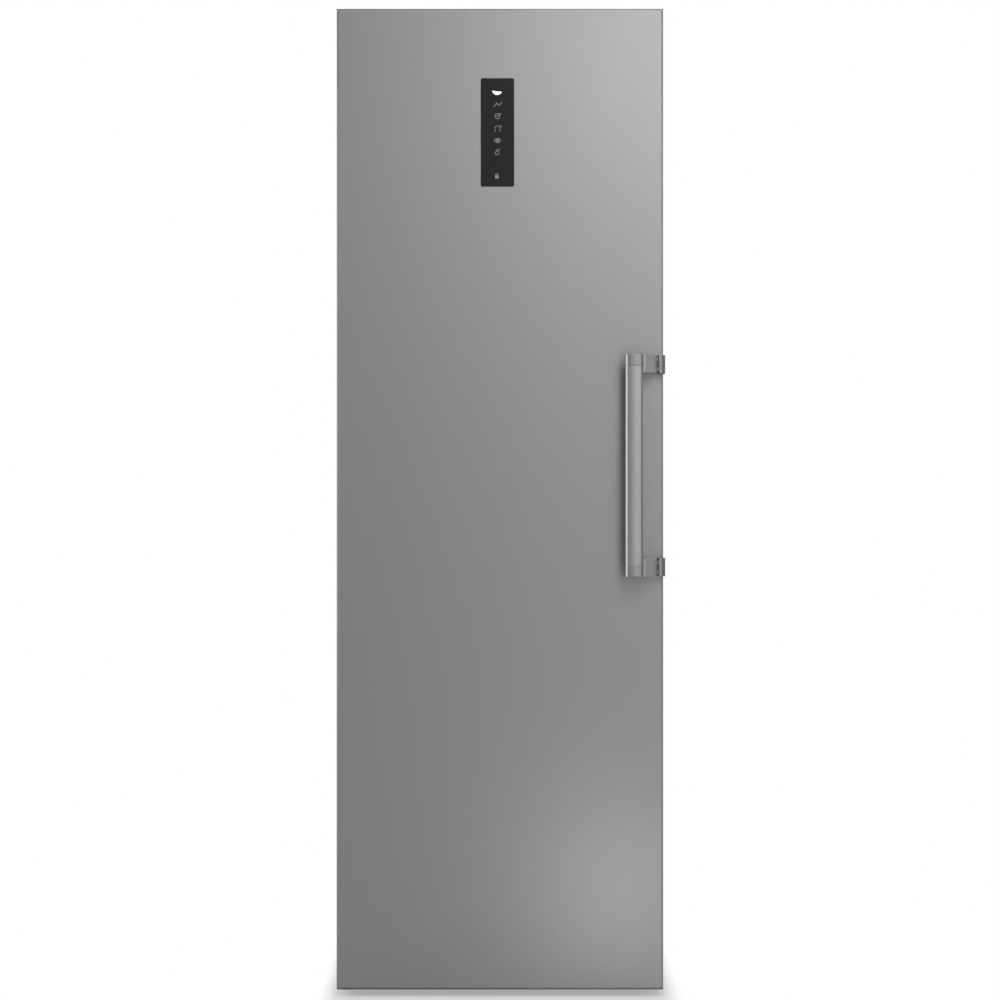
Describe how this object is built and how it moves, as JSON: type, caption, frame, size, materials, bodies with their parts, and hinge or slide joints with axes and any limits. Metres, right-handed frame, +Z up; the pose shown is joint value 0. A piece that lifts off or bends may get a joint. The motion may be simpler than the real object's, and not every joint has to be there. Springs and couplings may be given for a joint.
{
  "type": "freezerless refrigerator",
  "caption": "Tall free-standing refrigerator without a freezer: one brushed steel door hinged at its left, a side lever handle, a black control strip and a fitted cold room.",
  "frame": {"origin": "on the floor, midway across and midway between the handle's front and the wall spacers", "axes": "+X to the right as the door is seen, +Y to the back, +Z up"},
  "size_m": [0.5975, 0.698, 1.8],
  "materials": {
    "door_steel": "vertical brushed grain, satin",
    "handle_metal": "satin",
    "handle_plastic": "painted silver grey, satin",
    "black_gloss": "gloss black with faint symbols",
    "dark_trim": "matt dark grey",
    "white_moulded": "white, soft gloss",
    "clear_moulded": "clear with a faint blue tint",
    "shelf_glass": "clear",
    "cabinet_paint": "silver grey paint, satin",
    "galvanised": "zinc coated, dull",
    "bracket_steel": "zinc plated",
    "rack_chrome": "polished",
    "foam": "rigid foam, pale yellow",
    "seal_rubber": "grey, soft",
    "black_rubber": "black, matt",
    "bearing_plastic": "natural, dull",
    "black_plastic": "black, matt",
    "black_enamel": "black, satin",
    "board_green": "circuit board",
    "evaporator_metal": "mill finish",
    "copper": "plain copper"
  },
  "bodies": {
    "cabinet": {"outer_wrapper": "cabinet_paint", "back_panel": "galvanised", "cabinet_insulation": "foam", "inner_liner": "white_moulded", "base_frame": "galvanised", "kick_plate": "dark_trim", "upper_hinge_bracket": "bracket_steel", "lower_hinge_bracket": "bracket_steel", "hinge_pins": "bracket_steel", "hinge_cover": "dark_trim", "cabinet_screws": "bracket_steel", "glass_shelf_1": "shelf_glass", "glass_shelf_2": "shelf_glass", "glass_shelf_3": "shelf_glass", "glass_shelf_4": "shelf_glass", "shelf_trims": "white_moulded", "crisper_cover": "shelf_glass", "bottle_rack": "rack_chrome", "air_duct_cover": "white_moulded", "fan_motor": "black_plastic", "evaporator": "evaporator_metal", "light_lens": "clear_moulded", "light_board": "board_green", "compressor": "black_enamel", "compressor_grommets": "black_rubber", "terminal_cover": "black_plastic", "evaporation_tray": "black_plastic", "drain_tube": "bearing_plastic", "condenser": "black_enamel", "condenser_brackets": "black_plastic", "refrigerant_pipes": "copper", "mains_inlet": "black_plastic"},
    "door": {"door_skin": "door_steel", "door_top_cap": "dark_trim", "door_bottom_cap": "dark_trim", "door_insulation": "foam", "door_liner": "white_moulded", "door_gasket": "seal_rubber", "hinge_bushes": "bearing_plastic", "bottle_bin": "clear_moulded", "middle_bin": "clear_moulded", "upper_bin": "clear_moulded", "dairy_bin": "clear_moulded", "control_panel": "black_gloss", "control_board": "board_green", "handle_bases": "handle_plastic", "handle_screws": "bracket_steel"},
    "handle": {"handle_bar": "handle_metal", "handle_end_caps": "handle_plastic", "handle_arms": "handle_plastic", "handle_pins": "bracket_steel"},
    "pushers": {"seal_pushers": "bearing_plastic"},
    "lid": {"dairy_lid": "clear_moulded"},
    "lower_drawer_body": {"lower_drawer": "clear_moulded"},
    "upper_drawer_body": {"upper_drawer": "clear_moulded"},
    "fan": {"fan_rotor": "black_plastic"},
    "rollers": {"rear_rollers": "black_plastic"},
    "foot_right": {"front_foot_right": "black_plastic"},
    "foot_left": {"front_foot_left": "black_plastic"}
  },
  "joints": [
    {"name": "door_swing", "type": "hinge", "parent": "cabinet", "child": "door", "pos_m": [-0.28, -0.275, 0.9], "axis": [0, 0, -1], "range_deg": [0, 115]},
    {"name": "handle_pull", "type": "hinge", "parent": "door", "child": "handle", "pos_m": [0.28, -0.311, 0.9675], "axis": [0, 0, 1], "range_deg": [0, 12], "stiffness_Nm_per_rad": 6},
    {"name": "pusher_slide", "type": "slide", "parent": "door", "child": "pushers", "axis": [0, 1, 0], "range_m": [0, 0.0036]},
    {"name": "dairy_lid_flip", "type": "hinge", "parent": "door", "child": "lid", "pos_m": [0, -0.2395, 1.404], "axis": [1, 0, 0], "range_deg": [0, 90]},
    {"name": "lower_drawer_slide", "type": "slide", "parent": "cabinet", "child": "lower_drawer_body", "axis": [0, -1, 0], "range_m": [0, 0.133]},
    {"name": "upper_drawer_slide", "type": "slide", "parent": "cabinet", "child": "upper_drawer_body", "axis": [0, -1, 0], "range_m": [0, 0.205]},
    {"name": "fan_spin", "type": "hinge", "parent": "cabinet", "child": "fan", "pos_m": [0, 0.236, 1.59], "axis": [0, 1, 0], "continuous": true},
    {"name": "rollers_spin", "type": "hinge", "parent": "cabinet", "child": "rollers", "pos_m": [0, 0.285, 0.015], "axis": [1, 0, 0], "continuous": true},
    {"name": "foot_right_turn", "type": "hinge", "parent": "cabinet", "child": "foot_right", "pos_m": [0.255, -0.205, 0.03], "axis": [0, 0, 1], "continuous": true},
    {"name": "foot_left_turn", "type": "hinge", "parent": "cabinet", "child": "foot_left", "pos_m": [-0.255, -0.205, 0.03], "axis": [0, 0, 1], "continuous": true}
  ],
  "couplings": [
    {"joint": "pusher_slide", "follows": "handle_pull", "m_per_rad": 0.0165},
    {"joint": "lower_drawer_slide", "follows": "door_swing", "m_per_rad": 0.065},
    {"joint": "upper_drawer_slide", "follows": "door_swing", "m_per_rad": 0.1}
  ]
}
